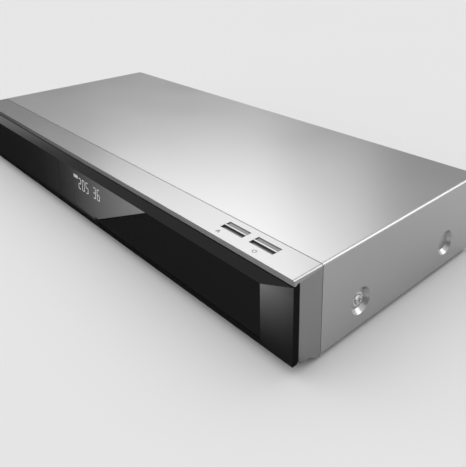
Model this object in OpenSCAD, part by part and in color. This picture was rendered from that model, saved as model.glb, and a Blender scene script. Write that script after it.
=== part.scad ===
// Disc and hard-disk video recorder: a flat steel case with a bevelled black front.
// Millimetres. +X is the recorder's right side seen from the front, +Y runs to the back and +Z up.
// The origin is on the floor, at the middle of the footprint with the rear connectors.
// Inside the modules y runs from the outer edge of the front plate, at y = 0, to the back.

/* [Case] */
// Width of the case
case_w = 430; // [428:1:434]
// Height over the feet
case_h = 59; // [59:0.5:61]
// Depth from the front face to the back of the case
case_d = 189; // [189:1:194]
// Thickness of the sheet steel
sheet_t = 0.8; // [0.6:0.1:1]
// Outer radius of the folds along the top edges
fold_r = 1.6; // [1.2:0.1:2]
// Height of the cover's lower edge above the floor
cover_bottom = 3.5; // [3.5:0.1:3.6]
// How far the satellite connectors stand out at the back
connector_out = 10; // [9:0.5:12]

/* [Front] */
// Depth of the front assembly, up to the seam with the cover
front_d = 22; // [21.5:0.5:23]
// How far the flat middle of the front stands proud of its outer edge
bevel_depth = 1.8; // [1.6:0.1:2]
// Width of the bevels at the two ends
end_bevel = 22; // [20:0.5:24]
// Height of the bevel along the top
top_bevel = 7.5; // [7:0.1:8.5]
// Height of the bevel along the bottom
bottom_bevel = 5.2; // [5:0.1:5.2]
// Gap round each panel in the front
panel_gap = 0.2; // [0.15:0.05:0.25]
// Where the slanted edge of the display window meets the lower bevel
slant_low_x = 9.1; // [8:0.1:10]
// Where the slanted edge of the display window meets the upper bevel
slant_high_x = 85.2; // [83:0.1:86]

/* [Buttons] */
// Length of a button
button_l = 18; // [17.5:0.1:18.3]
// Width of a button, front to back
button_w = 7.6; // [7.2:0.1:7.8]
// How far a button goes down
button_travel = 0.8; // [0.6:0.1:0.8]

/* [Disc drive] */
// Radius of the well for a 12 cm disc
disc_well_r = 60.5; // [60.2:0.1:60.8]
// Tooth size of the loading gears
gear_module = 0.8; // [0.8:0.1:0.8]
// Thickness of the disc tray
tray_t = 5; // [4.8:0.1:5]

/* [Hidden] */
$fn = 48;
cut = 1; // how far a cutting solid runs past a face

half_w = case_w / 2;
rear_y = case_d - bevel_depth;
y_middle = (rear_y + connector_out - bevel_depth) / 2;

// Front plate
lip_bottom = case_h - 3.5;
strip_bottom = case_h - 2.8;
strip_top = case_h - 0.1;
plate_top = lip_bottom - 0.5;
plate_bottom = 7.3;
plate_back = 4.3;
plate_half = half_w - 0.2;
face_half = half_w - 0.2 - end_bevel;
face_top = plate_top - top_bevel;
face_bottom = plate_bottom + bottom_bevel;
panel_back = 1.4;
web_front = panel_back + 0.2;
door_right = -44.95;
panel_low = face_bottom + panel_gap;
panel_high = face_top - panel_gap;

// Flap hinge: the flap's lower edge is round about this line
flap_t = panel_back + bevel_depth;
hinge_y = panel_back - flap_t / 2;
hinge_z = panel_low + flap_t / 2;
ear_top = 16.2;
slant = (slant_high_x - slant_low_x) / (face_top - face_bottom);
flap_left = slant_low_x + (ear_top - face_bottom) * slant;
hinge_pin_r = 0.8;

// Front frame
frame_y = plate_back + 0.2;
frame_wall = 2.2;
bulkhead = [frame_y, frame_y + 2];
tray_gate = [[-186.5, -51.5], [23.5, 38.5]];
tube_gate = [[-38, 38], [20, 45]];
sensor_gate = [[41.5, 50.5], [33, 43]];
slot_gate = [[89.5, 189.5], [14.5, 45.6]];

// Side dimples, the front ones with a screw, and the rear screws
side_dimples = [[57, 20], [150.5, 20]];
side_screw = side_dimples[0];
dimple_r = 8.7;
dimple_floor_r = 6.4;
dimple_depth = 2.8;
rear_screws = [[-205, 54], [-60, 54], [60, 54], [205, 54]];
shank_r = 1.45;
shank_hole_r = 1.9;

// Chassis
chassis_half = half_w - dimple_depth - sheet_t - 0.1;
floor_z = [3.7, 3.7 + sheet_t];
deck = floor_z[1];
board_z = [9, 10.6];
part_z = board_z[1] + 0.1;
rear_panel_y = [rear_y - sheet_t - 0.9, rear_y - sheet_t - 0.1];

// Buttons
button_x = [157.4, 181.5];
button_y = 13.3;
button_hole = [button_l + 0.4, button_w + 0.4];

// Disc drive
drive_x = -119;
drive_half = 73;
drive_y = [24, 184];
drive_z = [9, 41.4];
drive_wall = 1.5;
spindle_y = 76;
tray_half = 65;
tray_z = [36 - tray_t, 36];
tray_y = [panel_back, 180];
slot_half = 19.5;
gear_teeth = 30;
pinion_teeth = 12;
gear_r = gear_module * gear_teeth / 2;
pinion_r = gear_module * pinion_teeth / 2;
rack_x = -172;
gear_at = [rack_x + gear_r, 35];
pulley_at = [gear_at[0] + gear_r + pinion_r, 35];
motor_at = [-115, 35];
pulley_r = 8;
motor_pulley_r = 3;
rod_z = 26.5;
rod_x = 24;
screw_at = [drive_x + 31.3, 25.8];
traverse_z = [20, 21.6];
traverse_hinge = [164, 20.8];

// Hard disk
hdd_x = [-34, 67.6];
hdd_y = [27, 174];
hdd_z = [27.6, 51.3];
hdd_wall = 3;
platter_at = [16.8, 78];
arm_at = [48, 146];

// Rear connectors
tuner_x = [92, 114];
tuner_z = 18;
fan_at = [-20, 32];
fan_half = 20;

// ---- Helpers ----

module in_frame() {
    translate([0, -y_middle, 0]) children();
}

module slab(x, y, z) {
    translate([x[0], y[0], z[0]]) cube([x[1] - x[0], y[1] - y[0], z[1] - z[0]]);
}

module post(at, r, z) {
    translate([at[0], at[1], z[0]]) cylinder(r = r, h = z[1] - z[0]);
}

module rod_along_y(at, r, y) {
    translate([at[0], y[0], at[1]]) rotate([-90, 0, 0]) cylinder(r = r, h = y[1] - y[0]);
}

module rod_along_x(at, r, x) {
    translate([x[0], at[0], at[1]]) rotate([0, 90, 0]) cylinder(r = r, h = x[1] - x[0]);
}

// A flat outline in x and z, made solid between two depths
module extrude_y(y) {
    translate([0, y[1], 0]) rotate([90, 0, 0]) linear_extrude(height = y[1] - y[0]) children();
}

// A flat outline in y and z, made solid between two sides
module extrude_x(x) {
    translate([x[0], 0, 0]) rotate([90, 0, 90]) linear_extrude(height = x[1] - x[0]) children();
}

module extrude_z(z) {
    translate([0, 0, z[0]]) linear_extrude(height = z[1] - z[0]) children();
}

function arc(at, r, from, to, steps = 6) =
    [for (i = [0:steps]) let (a = from + (to - from) * i / steps) at + r * [cos(a), sin(a)]];

function round_rect(x, y, r) = concat(
    arc([x[1] - r, y[1] - r], r, 0, 90),
    arc([x[0] + r, y[1] - r], r, 90, 180),
    arc([x[0] + r, y[0] + r], r, 180, 270),
    arc([x[1] - r, y[0] + r], r, 270, 360)
);

// Outline with round upper corners and a plain foot
function arch(half, z, r) = concat(
    [[half, z[0]]],
    arc([half - r, z[1] - r], r, 0, 90),
    arc([r - half, z[1] - r], r, 90, 180),
    [[-half, z[0]]]
);

module mirrored_x() {
    children();
    mirror([1, 0, 0]) children();
}

// ---- Case ----

// Cone pressed into a side wall, centred on the wall's outer face and pointing inwards
module dimple_cone(extra, depth) {
    rotate([0, -90, 0]) cylinder(r1 = dimple_r + extra, r2 = dimple_floor_r + extra, h = depth);
}

module on_side(p) {
    translate([half_w, p[0], p[1]]) children();
}

module top_cover() color([0.78, 0.79, 0.8]) {
    cover_y = [front_d + 0.35, rear_y];
    difference() {
        union() {
            extrude_y([cover_y[0], rear_y - sheet_t]) difference() {
                polygon(arch(half_w, [cover_bottom, case_h], fold_r));
                polygon(arch(half_w - sheet_t, [cover_bottom - cut, case_h - sheet_t],
                    fold_r - sheet_t));
            }
            extrude_y([rear_y - sheet_t, rear_y]) difference() {
                polygon(arch(half_w, [cover_bottom, case_h], fold_r));
                polygon(arch(half_w - 3, [cover_bottom - cut, case_h - 9], 3));
            }
            mirrored_x() for (p = side_dimples) on_side(p) dimple_cone(0.9, dimple_depth + sheet_t);
        }
        mirrored_x() for (p = side_dimples) on_side(p) dimple_cone(0, dimple_depth);
        mirrored_x() on_side(side_screw) rotate([0, -90, 0])
            cylinder(r = shank_hole_r, h = dimple_depth + sheet_t + cut);
        mirrored_x() slab([half_w, half_w + 2 * cut], cover_y, [0, case_h]);
        for (p = rear_screws) rod_along_y(p, shank_hole_r, [rear_y - sheet_t - cut, rear_y + cut]);
    }
}

module bottom_chassis() color([0.72, 0.73, 0.74]) {
    chassis_y = [front_d + 2, rear_panel_y[0] - 0.1];
    wall_top = 30;
    vent = [26, 2.4];
    difference() {
        union() {
            slab([-chassis_half, chassis_half], chassis_y, floor_z);
            mirrored_x() slab([chassis_half - sheet_t, chassis_half], chassis_y, [floor_z[0], wall_top]);
            slab([-chassis_half, chassis_half], [chassis_y[1] - sheet_t, chassis_y[1]], [floor_z[0], 8]);
            slab([-chassis_half, chassis_half], [chassis_y[0], chassis_y[0] + sheet_t], [floor_z[0], 8]);
        }
        mirrored_x() on_side(side_screw) rotate([0, -90, 0]) cylinder(r = shank_r + 0.05, h = 12);
        for (i = [0:7], x = [90, 150])
            slab([x, x + vent[0]], [70 + 8 * i, 70 + 8 * i + vent[1]], [floor_z[0] - cut, deck + cut]);
    }
    // Stand-offs for the circuit boards
    for (x = [-28, 122, 138, 203], y = [46, 176])
        post([x, y], 3, [deck, board_z[0]]);
}

module rear_panel() color([0.3, 0.31, 0.32]) {
    low = deck + 0.1;
    cut_y = [rear_panel_y[0] - cut, rear_panel_y[1] + cut];
    difference() {
        slab([-chassis_half - 1.8, chassis_half + 1.8], rear_panel_y, [low, case_h - sheet_t - 0.2]);
        // Fan grille: rings of slots left between spokes
        for (r = [6, 10, 14, 18]) difference() {
            rod_along_y(fan_at, r, cut_y);
            rod_along_y(fan_at, r - 2.2, [cut_y[0] - cut, cut_y[1] + cut]);
            for (a = [0, 60, 120]) translate([fan_at[0], cut_y[0], fan_at[1]]) rotate([0, a, 0])
                slab([-20, 20], [-cut, 4], [-1, 1]);
        }
        // Cut-outs for the sockets
        slab([9.8, 25.2], cut_y, [part_z - 0.2, 16.9]);
        slab([31.8, 45.6], cut_y, [part_z - 0.2, 17.9]);
        slab([49.8, 66.2], cut_y, [part_z - 0.2, 24.4]);
        slab([69.8, 80.2], cut_y, [part_z - 0.2, 21.2]);
        slab([175.8, 200.2], cut_y, [part_z - 0.2, 28.4]);
        for (x = tuner_x) rod_along_y([x, tuner_z], 5.2, cut_y);
        for (p = rear_screws) rod_along_y(p, shank_r + 0.05, cut_y);
        // Air slots behind the disc drive and the power supply
        for (i = [0:8], x = [-180, 104]) slab([x + 8 * i, x + 8 * i + 2.4], cut_y, [33, 47]);
    }
}

module foot_places() {
    for (x = [-200, 200], y = [26.5, 165]) translate([x, y, 0]) children();
}

module feet() color([0.1, 0.1, 0.1]) foot_places() difference() {
    translate([0, 0, 1]) cylinder(r1 = 8.6, r2 = 9.4, h = floor_z[0] - 1);
    translate([0, 0, 0.5]) cylinder(r = 6.5, h = 1.3);
}

module foot_pads() color([0.18, 0.18, 0.18]) foot_places() cylinder(r = 6.4, h = 1.8);

// Flanged pan-head screw along +X, with its head's seat at the origin
module screw() {
    difference() {
        union() {
            rotate([0, 90, 0]) cylinder(r = 4.7, h = 0.5);
            rotate([0, 90, 0]) cylinder(r1 = 3.5, r2 = 2.7, h = 1.6);
        }
        for (size = [[4, 0.8], [0.8, 4]])
            translate([0.7, -size[0] / 2, -size[1] / 2]) cube([cut, size[0], size[1]]);
    }
    translate([-7, 0, 0]) rotate([0, 90, 0]) cylinder(r = shank_r, h = 7);
}

module case_screws() color([0.8, 0.8, 0.8]) {
    mirrored_x() on_side(side_screw) translate([-dimple_depth, 0, 0]) screw();
    for (p = rear_screws) translate([p[0], rear_y, p[1]]) rotate([0, 0, 90]) screw();
}

// ---- Front assembly ----

// Solid with the bevelled front, before the panels' openings are cut
module bevelled_blank() {
    intersection() {
        extrude_x([-plate_half, plate_half]) polygon([
            [0, plate_bottom], [-bevel_depth, face_bottom], [-bevel_depth, face_top],
            [0, plate_top], [plate_back, plate_top], [plate_back, plate_bottom + 1],
            [plate_back - 1, plate_bottom]
        ]);
        extrude_z([plate_bottom - cut, plate_top + cut]) polygon([
            [-plate_half, 0], [-face_half, -bevel_depth], [face_half, -bevel_depth],
            [plate_half, 0], [plate_half, plate_back], [-plate_half, plate_back]
        ]);
    }
}

module fascia_plate() color([0.03, 0.03, 0.03]) {
    gate_y = [web_front - cut, plate_back + cut];
    ear = [[flap_left - 4.8, flap_left], [face_bottom - 0.1, ear_top]];
    pin_hole = hinge_pin_r + 0.05;
    difference() {
        union() {
            difference() {
                bevelled_blank();
                slab([-face_half, face_half], [-bevel_depth - cut, web_front], [face_bottom, face_top]);
            }
            slab(ear[0], [-bevel_depth, web_front + 0.1], ear[1]);
        }
        for (gate = [tray_gate, tube_gate, sensor_gate, slot_gate]) slab(gate[0], gate_y, gate[1]);
        // Latch hole for the flap's nib
        slab([137.5, 142.5], gate_y, [slot_gate[1][1] - cut, 46.2]);
        for (x = [[flap_left - 3.2, flap_left + cut], [face_half - cut, face_half + 3.2]])
            rod_along_x([hinge_y, hinge_z], pin_hole, x);
    }
}

module display_window() color([0.2, 0.2, 0.21]) {
    left = door_right + 2 * panel_gap;
    ear_left = flap_left - 4.8 - panel_gap;
    low = face_bottom + 0.05;
    high = face_top - 0.05;
    extrude_y([0.05 - bevel_depth, panel_back]) polygon([
        [left, low], [ear_left, low], [ear_left, ear_top + panel_gap],
        [flap_left - 0.1, ear_top + panel_gap], [slant_high_x - 0.5, high], [left, high]
    ]);
}

module tray_door() color([0.03, 0.03, 0.03]) {
    slab([-face_half + panel_gap, door_right], [-bevel_depth, panel_back], [panel_low, panel_high]);
}

// The flap's section, with its lower edge round about the hinge line
function flap_section() = concat(
    arc([hinge_y, hinge_z], flap_t / 2, 180, 360, 12),
    [[panel_back, panel_high], [-bevel_depth, panel_high]]
);

module front_flap() color([0.03, 0.03, 0.03]) {
    x = [flap_left + panel_gap, face_half - panel_gap];
    difference() {
        union() {
            intersection() {
                extrude_x(x) polygon(flap_section());
                extrude_y([-bevel_depth - cut, panel_back + cut]) polygon([
                    [x[0], panel_low - cut], [x[0], ear_top - 0.5], [slant_high_x, panel_high],
                    [x[1], panel_high], [x[1], panel_low - cut]
                ]);
            }
            // Nib that snaps into the frame
            slab([138.5, 141.5], [panel_back - 0.1, panel_back + 1.6], [43.6, 44.6]);
        }
        // Sunk panel on the inside
        extrude_y([panel_back - 0.6, panel_back + cut]) polygon([
            [42, 20], [90, 41.5], [x[1] - 5, 41.5], [x[1] - 5, 20]
        ]);
        for (x_end = [[x[0] - cut, x[0] + 3], [x[1] - 3, x[1] + cut]])
            rod_along_x([hinge_y, hinge_z], hinge_pin_r, x_end);
    }
}

module flap_hinge_pins() color([0.75, 0.75, 0.76]) {
    bite = panel_gap + 3;
    rod_along_x([hinge_y, hinge_z], hinge_pin_r, [flap_left - 2.8, flap_left + bite]);
    rod_along_x([hinge_y, hinge_z], hinge_pin_r, [face_half - bite, face_half + 2.8]);
}

module front_frame() color([0.74, 0.75, 0.76]) {
    strip_y = [0.4, front_d];
    underside = [[frame_y, 9.4], [15.8, 4.4], [front_d, 4.4]];
    skid = concat(
        arc([frame_y + 3.6, 9.9], 3.6, 180, 270),
        [[13.5, 6], [17.5, 2.8], [front_d - 0.6, 1.8], [front_d, 2.2]]
    );
    rail_top = [[front_d, 6.4], [16.2, 6.4], [frame_y, 11.6]];
    difference() {
        union() {
            // Top strip with its front lip
            extrude_y([strip_y[0], front_d]) polygon(arch(half_w, [strip_bottom, strip_top], fold_r));
            slab([-half_w, half_w], [strip_y[0], strip_y[0] + 2], [lip_bottom, strip_bottom]);
            mirrored_x() extrude_x([half_w - frame_wall, half_w])
                polygon(concat(skid, [[front_d, strip_bottom], [frame_y, strip_bottom]]));
            extrude_x([frame_wall - half_w, half_w - frame_wall]) polygon(concat(underside, rail_top));
            slab([frame_wall - half_w, half_w - frame_wall], bulkhead, [11, strip_bottom]);
        }
        for (x = button_x) slab(
            [x - button_hole[0] / 2, x + button_hole[0] / 2],
            [button_y - button_hole[1] / 2, button_y + button_hole[1] / 2],
            [strip_bottom - cut, case_h + cut]
        );
        for (gate = [tray_gate, tube_gate, sensor_gate, slot_gate])
            slab(gate[0], [bulkhead[0] - cut, bulkhead[1] + cut], gate[1]);
    }
}

// A key with a ridge along its middle, a low front, a retaining flange and a stem
module button(x) {
    ridge = 0.5;
    low_z = case_h - 1.3;
    high_z = case_h - 0.6;
    flange_z = [strip_bottom - 1.2, strip_bottom - 0.1];
    extrude_x([x - button_l / 2, x + button_l / 2]) polygon([
        [button_y - button_w / 2, flange_z[1]], [button_y - button_w / 2, low_z],
        [button_y - ridge - 0.4, low_z - 0.2], [button_y - ridge, case_h - 0.1],
        [button_y + ridge, case_h - 0.1], [button_y + ridge + 0.3, high_z - 0.2],
        [button_y + button_w / 2, high_z], [button_y + button_w / 2, flange_z[1]]
    ]);
    slab([x - button_l / 2 - 1, x + button_l / 2 + 1],
        [button_y - button_w / 2 - 0.8, button_y + button_w / 2 + 0.8], flange_z);
    post([x, button_y], 1.5, [51.5 + button_travel + 0.05, flange_z[0]]);
}

module open_button() color([0.7, 0.71, 0.72]) button(button_x[0]);

module power_button() color([0.7, 0.71, 0.72]) button(button_x[1]);

module key_board() color([0.1, 0.35, 0.2]) slab([142, 198], [7.5, 19.5], [46.4, 48]);

module tact_switches() color([0.15, 0.15, 0.16]) for (x = button_x) {
    slab([x - 3, x + 3], [button_y - 3, button_y + 3], [48, 50.6]);
    post([x, button_y], 1.7, [50.6, 51.5]);
}

module slot_panel() color([0.06, 0.06, 0.06]) {
    cut_y = [bulkhead[0] - cut, bulkhead[1] + cut];
    difference() {
        slab([slot_gate[0][0] + 0.2, slot_gate[0][1] - 0.2], bulkhead,
            [slot_gate[1][0] + 0.2, slot_gate[1][1] - 0.2]);
        slab([125, 179.4], cut_y, [18.5, 24.3]);
        slab([125, 179.4], cut_y, [30.5, 36.3]);
        slab([98.3, 110.9], cut_y, [21.5, 26.7]);
        slab([93.6, 118.2], cut_y, [33.4, 36.2]);
    }
}

module module_slot() color([0.7, 0.71, 0.72]) difference() {
    slab([123, 181.4], [bulkhead[1] + 0.1, 58], [16.5, 38.3]);
    for (z = [18.5, 30.5]) slab([125, 179.4], [bulkhead[1] - cut, 52], [z, z + 5.8]);
    // The open space between the two bays
    slab([123 - cut, 181.4 + cut], [bulkhead[1] + 3, 58 + cut], [26, 28.8]);
}

// A connector shell along +Y with a contact tongue, open at its front
module tongue_socket(x, y, z, wall, tongue) {
    difference() {
        slab(x, y, z);
        slab([x[0] + wall, x[1] - wall], [y[0] - cut, y[1] - 2], [z[0] + wall, z[1] - wall]);
    }
    middle = (z[0] + z[1]) / 2;
    slab([x[0] + wall + 1, x[1] - wall - 1], [y[0] + 1.5, y[1] - 1.5],
        [middle - tongue / 2, middle + tongue / 2]);
}

module front_usb_socket() color([0.75, 0.75, 0.76])
    tongue_socket([97.9, 111.3], [bulkhead[1] + 0.1, 24], [21, 27.2], 0.5, 1.8);

module card_reader() color([0.72, 0.72, 0.73]) difference() {
    slab([92.6, 119.2], [bulkhead[1] + 0.1, 34], [32.7, 36.9]);
    slab([93.6, 118.2], [bulkhead[1] - cut, 32], [33.4, 36.2]);
}

module display_board() color([0.1, 0.35, 0.2]) slab([-49, 80], [8.2, 9.8], [13, 50]);

module display_tube() color([0.08, 0.1, 0.1]) {
    extrude_y([2.2, 8.1]) polygon(round_rect([-36, 36], [21.5, 43.5], 1));
}

module remote_sensor() color([0.08, 0.08, 0.1]) {
    slab([42.5, 49.5], [6.7, 8.1], [34, 42]);
    rod_along_y([46, 38.5], 2.2, [5.2, 6.8]);
}

// ---- Disc drive ----

function involute(rho, base) = rho <= base ? 0 : let (a = acos(base / rho)) tan(a) * 180 / PI - a;

// Outline of a spur gear; play is taken off each tooth along the pitch circle
function gear_outline(teeth, turn = 0, play = 0.2) = let (
    r = gear_module * teeth / 2, base = r * cos(20), root = r - 1.2 * gear_module,
    tip = r + 0.75 * gear_module, start = max(base, root + 0.01),
    half = 90 / teeth - play / 2 / r * 180 / PI + involute(r, base)
) [for (i = [0:teeth - 1], p = [
        [-1, root], [-1, start], [-1, r], [-1, tip], [1, tip], [1, r], [1, start], [1, root]
    ]) let (a = turn + 360 / teeth * i + p[0] * (half - involute(p[1], base))) p[1] * [cos(a), sin(a)]];

module tray_gear() color([0.9, 0.9, 0.86]) difference() {
    union() {
        translate([gear_at[0], gear_at[1], 24.8]) linear_extrude(height = 4)
            polygon(gear_outline(gear_teeth));
        post(gear_at, 4, [24, 29.2]);
    }
    post(gear_at, 1.56, [24 - cut, 29.2 + cut]);
}

module pulley_gear() color([0.85, 0.85, 0.8]) difference() {
    union() {
        translate([pulley_at[0], pulley_at[1], 23.4]) linear_extrude(height = 5)
            polygon(gear_outline(pinion_teeth, turn = 180 / pinion_teeth));
        post(pulley_at, pulley_r + 1.4, [20, 20.9]);
        post(pulley_at, pulley_r, [20.9, 22.5]);
        post(pulley_at, pulley_r + 1.4, [22.5, 23.4]);
    }
    post(pulley_at, 1.26, [20 - cut, 28.4 + cut]);
}

module motor_pulley() color([0.85, 0.85, 0.8]) {
    post(motor_at, 0.75, [16, 20.4]);
    post(motor_at, motor_pulley_r + 1.2, [20.4, 20.9]);
    post(motor_at, motor_pulley_r, [20.9, 22.5]);
    post(motor_at, motor_pulley_r + 1.2, [22.5, 23]);
}

module loading_motor() color([0.7, 0.71, 0.72]) difference() {
    union() {
        post(motor_at, 9, [drive_z[0] + drive_wall, 19]);
        post(motor_at, 3, [19, 20]);
    }
    post(motor_at, 0.8, [15, 20 + cut]);
}

// Outline that runs round both pulleys, at a distance out from their grooves
module belt_outline(out) hull() {
    translate(pulley_at) circle(r = pulley_r + out);
    translate(motor_at) circle(r = motor_pulley_r + out);
}

module loading_belt() color([0.05, 0.05, 0.05]) extrude_z([21.1, 22.3]) difference() {
    belt_outline(1.15);
    belt_outline(0.05);
}

module disc_tray() color([0.12, 0.12, 0.13]) {
    pitch = PI * gear_module;
    teeth_n = floor((tray_y[1] - 30) / pitch);
    rack_back = rack_x - 6;
    difference() {
        slab([drive_x - tray_half, drive_x + tray_half], tray_y, tray_z);
        post([drive_x, spindle_y], disc_well_r, [33.8, tray_z[1] + cut]);
        post([drive_x, spindle_y], 40.8, [33, tray_z[1] + cut]);
        post([drive_x, spindle_y], slot_half, [tray_z[0] - cut, tray_z[1] + cut]);
        slab([drive_x - slot_half, drive_x + slot_half], [spindle_y, tray_y[1] + cut],
            [tray_z[0] - cut, tray_z[1] + cut]);
        // Finger scoops at both sides of the disc
        for (s = [-1, 1]) post([drive_x + s * 58, spindle_y], 11, [32.6, tray_z[1] + cut]);
    }
    // Rack, with a gap between two teeth beside the gear at rest
    extrude_z([24.5, tray_z[0]]) polygon(concat(
        [[rack_back, tray_y[1]], [rack_back, 28]],
        [for (i = [-2:teeth_n - 2], p = [[-1.2, -0.75], [0.75, -0.27], [0.75, 0.27], [-1.2, 0.75]])
            [rack_x + p[0] * gear_module,
             gear_at[1] + (i + 0.5) * pitch + p[1] * pitch / 2 * 0.93]],
        [[rack_x - 1.2 * gear_module, tray_y[1]]]
    ));
    slab([drive_x + 55, drive_x + 61], [28, tray_y[1]], [27, tray_z[0]]);
}

module drive_base() color([0.16, 0.16, 0.17]) {
    x = [drive_x - drive_half, drive_x + drive_half];
    inner = [x[0] + drive_wall, x[1] - drive_wall];
    floor_top = drive_z[0] + drive_wall;
    hinge_blocks = [drive_x - 47, drive_x + 43];
    difference() {
        union() {
            difference() {
                slab(x, drive_y, drive_z);
                slab(inner, [drive_y[0] + drive_wall, drive_y[1] - drive_wall],
                    [floor_top, drive_z[1] + cut]);
                slab([inner[0] + 1, inner[1] - 1], [drive_y[0] - cut, drive_y[0] + 5], [23, 38.5]);
            }
            // Guide ribs below and above the tray's edges
            for (z = [[tray_z[0] - 2, tray_z[0] - 0.15], [tray_z[1] + 0.15, tray_z[1] + 2]]) {
                slab([inner[0], drive_x - tray_half + 1.8], [27, drive_y[1] - drive_wall], z);
                slab([drive_x + tray_half - 1.8, inner[1]], [27, drive_y[1] - drive_wall], z);
            }
            for (bx = hinge_blocks) slab([bx, bx + 4], [160, 168], [floor_top, 24]);
            post(gear_at, 1.5, [floor_top, 30]);
            post(gear_at, 3.5, [floor_top, 23.9]);
            post(pulley_at, 1.2, [floor_top, 29]);
            post(pulley_at, 3.5, [floor_top, 19.9]);
            for (px = [x[0] + 8, x[1] - 8], py = [34, 174]) post([px, py], 4, [deck, drive_z[0] + 0.1]);
        }
        for (bx = hinge_blocks) rod_along_x(traverse_hinge, 1.56, [bx - cut, bx + 4 + cut]);
    }
}

module drive_lid() color([0.75, 0.76, 0.77]) {
    x = [drive_x - drive_half - 0.9, drive_x + drive_half + 0.9];
    lid_z = [drive_z[1] + 0.1, drive_z[1] + 0.9];
    difference() {
        union() {
            slab(x, drive_y, lid_z);
            slab([x[0], x[0] + 0.8], drive_y, [30, lid_z[1]]);
            slab([x[1] - 0.8, x[1]], drive_y, [30, lid_z[1]]);
        }
        post([drive_x, spindle_y], 12, [drive_z[1] - cut, lid_z[1] + cut]);
    }
}

module disc_clamper() color([0.2, 0.2, 0.21]) difference() {
    union() {
        post([drive_x, spindle_y], 15.5, [36.7, 39]);
        post([drive_x, spindle_y], 11, [39, 42.5]);
        post([drive_x, spindle_y], 14, [42.5, 43.8]);
    }
    post([drive_x, spindle_y], 8, [36.7 - cut, 37.8]);
}

module traverse_plate() color([0.55, 0.56, 0.57]) {
    rear_x = [drive_x - 42, drive_x + 42];
    difference() {
        union() {
            slab(rear_x, [57, 163.3], traverse_z);
            for (y = [[88, 91], [155, 158]], s = [-1, 1])
                slab([drive_x + s * rod_x - 3, drive_x + s * rod_x + 3], y, [traverse_z[1] - 0.1, 29.6]);
            slab([screw_at[0] - 3, screw_at[0] + 3], [88, 91], [traverse_z[1] - 0.1, 29.6]);
            for (x = [[rear_x[0], rear_x[0] + 6], [rear_x[1] - 6, rear_x[1]]])
                rod_along_x(traverse_hinge, 2.4, x);
            rod_along_x(traverse_hinge, 1.5, [drive_x - 47, drive_x - 41]);
            rod_along_x(traverse_hinge, 1.5, [drive_x + 41, drive_x + 47]);
        }
        slab([drive_x - 20, drive_x + 20], [91.5, 155], [traverse_z[0] - cut, traverse_z[1] + cut]);
        for (s = [-1, 1]) rod_along_y([drive_x + s * rod_x, rod_z], 1.52, [87, 159]);
        rod_along_y(screw_at, 1.27, [87, 92]);
    }
}

module spindle_motor() color([0.6, 0.61, 0.62]) difference() {
    post([drive_x, spindle_y], 12.6, [traverse_z[1], 29]);
    post([drive_x, spindle_y], 1.56, [traverse_z[1] + 0.8, 29 + cut]);
}

module turntable() color([0.2, 0.2, 0.21]) {
    post([drive_x, spindle_y], 1.5, [traverse_z[1] + 1, 29.5]);
    post([drive_x, spindle_y], 12.2, [29.4, 33]);
    post([drive_x, spindle_y], 14.5, [32.9, 35.2]);
    translate([drive_x, spindle_y, 35.2]) cylinder(r1 = 7.4, r2 = 6.8, h = 1.8);
}

module guide_rods() color([0.82, 0.82, 0.83])
    for (s = [-1, 1]) rod_along_y([drive_x + s * rod_x, rod_z], 1.5, [87.8, 158.2]);

module optical_pickup() color([0.3, 0.31, 0.32]) {
    y = [93, 121];
    difference() {
        union() {
            slab([drive_x - 17, drive_x + 17], y, [23, 31.6]);
            slab([drive_x - rod_x - 3, screw_at[0] + 3], [y[0] + 6, y[1] - 6], [23.4, 29.6]);
        }
        for (s = [-1, 1]) rod_along_y([drive_x + s * rod_x, rod_z], 1.56, [y[0] - cut, y[1] + cut]);
        rod_along_y(screw_at, 1.26, [y[0] - cut, y[1] + cut]);
        post([drive_x, 101], 3.6, [30, 31.6 + cut]);
    }
}

module pickup_lens() color([0.5, 0.6, 0.7]) {
    post([drive_x, 101], 3.5, [30, 31.8]);
    translate([drive_x, 101, 31.8]) cylinder(r1 = 2.6, r2 = 1.6, h = 0.7);
}

module lead_screw() color([0.8, 0.8, 0.81]) rod_along_y(screw_at, 1.2, [88.5, 154]);

module sled_motor() color([0.7, 0.71, 0.72]) difference() {
    rod_along_y(screw_at, 4.1, [151, 160]);
    rod_along_y(screw_at, 1.26, [151 - cut, 155]);
}

// ---- Hard disk ----

module hdd_case() color([0.62, 0.63, 0.64]) {
    difference() {
        slab(hdd_x, hdd_y, hdd_z);
        slab([hdd_x[0] + hdd_wall, hdd_x[1] - hdd_wall], [hdd_y[0] + hdd_wall, hdd_y[1] - hdd_wall],
            [hdd_z[0] + 2.4, hdd_z[1] + cut]);
        for (y = [50, 120, 160], x = [[hdd_x[0] - cut, hdd_x[0] + 2.2], [hdd_x[1] - 2.2, hdd_x[1] + cut]])
            rod_along_x([y, 34], 1.5, x);
    }
    post(platter_at, 7.9, [hdd_z[0] + 2.3, 45]);
    post(arm_at, 4, [hdd_z[0] + 2.3, 46]);
}

module hdd_cover() color([0.75, 0.76, 0.77])
    extrude_z([hdd_z[1] + 0.05, hdd_z[1] + 0.85]) polygon(round_rect(hdd_x, hdd_y, 3));

module hdd_board() color([0.08, 0.3, 0.18])
    slab([hdd_x[0] + 1, hdd_x[1] - 1], [hdd_y[0] + 60, hdd_y[1] - 1], [26, 27.5]);

module hdd_bracket() color([0.72, 0.73, 0.74]) for (x = [hdd_x[0] - 1.2, hdd_x[1] + 0.2]) difference() {
    union() {
        slab([x, x + 1], [44, 166], [24, 42]);
        for (y = [50, 144]) slab([x, x + 1], [y, y + 10], [deck, 24.1]);
    }
    for (y = [50, 120, 160]) rod_along_x([y, 34], 2, [x - cut, x + 1 + cut]);
}

module hdd_platters() color([0.85, 0.85, 0.86]) {
    difference() {
        union() {
            post(platter_at, 12.5, [32, 47]);
            for (z = [36, 42]) post(platter_at, 47.3, [z, z + 1.3]);
        }
        post(platter_at, 8, [32 - cut, 45.2]);
    }
}

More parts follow.
